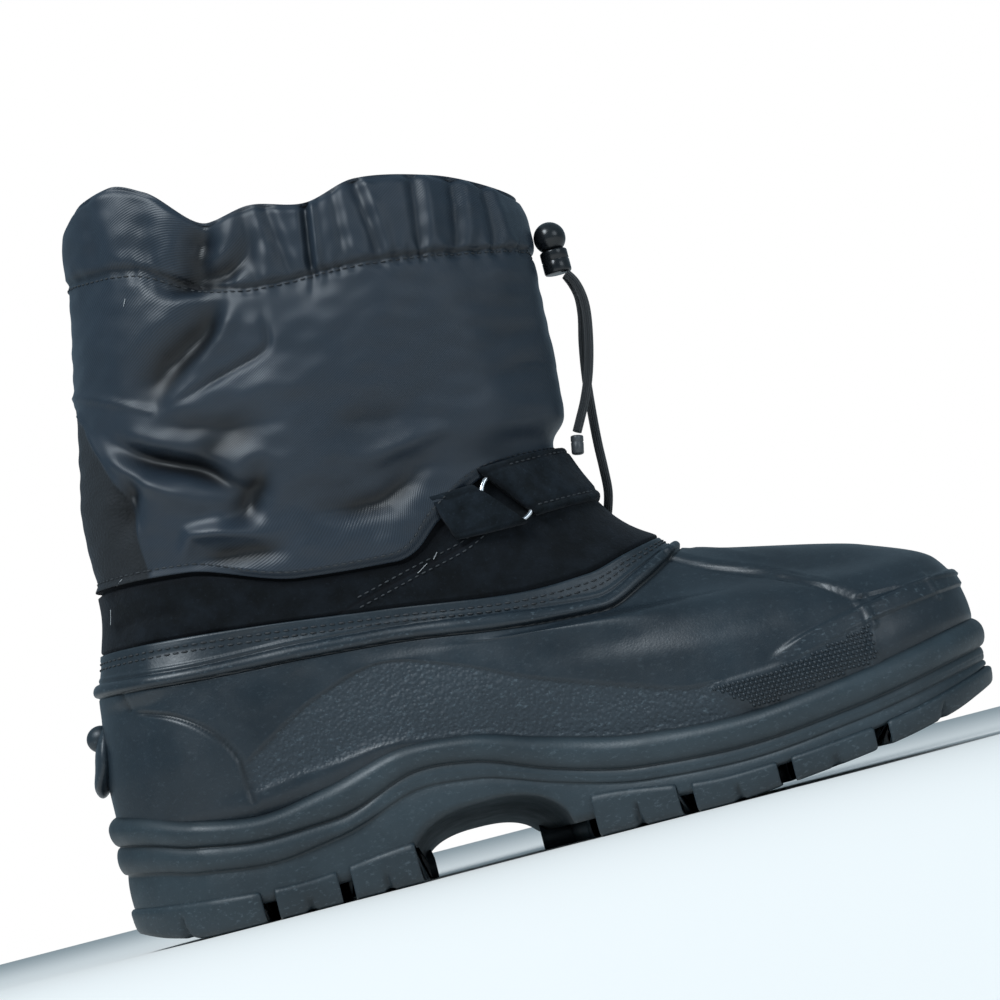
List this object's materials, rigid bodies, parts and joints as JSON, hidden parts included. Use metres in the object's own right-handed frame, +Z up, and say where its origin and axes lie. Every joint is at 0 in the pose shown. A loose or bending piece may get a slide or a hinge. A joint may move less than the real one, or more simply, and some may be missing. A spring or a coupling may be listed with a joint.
{
  "type": "snow boot",
  "caption": "Insulated snow boot: moulded rubber shell on a lugged sole, soft nylon shaft with a drawcord collar, instep strap pulled through a metal ring",
  "frame": {"origin": "on the ground under the middle of the sole's footprint box", "axes": "+X towards the toe, +Y towards the outer (lateral) side of the foot, +Z up the leg"},
  "size_m": [0.3048, 0.1107, 0.2524],
  "materials": {
    "sole_rubber": "satin moulded rubber, a little dusty",
    "shell_rubber": "satin moulded rubber with faint scuffs",
    "footbed": "felted footbed",
    "band_suede": "dull nubuck-like synthetic",
    "shaft_nylon": "navy-black nylon twill with a soft sheen",
    "strap_suede": "dull nubuck-like synthetic",
    "ring_steel": "bright plated wire",
    "lock_plastic": "polished black plastic",
    "cord": "elastic cord with a braided cover",
    "tip_plastic": "grey heat-shrunk tube"
  },
  "bodies": {
    "root": {"outsole": "sole_rubber", "shell": "shell_rubber", "insole": "footbed", "ankle_band": "band_suede", "shaft": "shaft_nylon", "instep_strap": "strap_suede", "ring_tab": "strap_suede", "strap_ring": "ring_steel", "lock_barrel": "lock_plastic", "lock_button": "lock_plastic", "long_cord": "cord", "short_cord": "cord", "long_cord_tip": "tip_plastic", "short_cord_tip": "tip_plastic"}
  },
  "joints": []
}
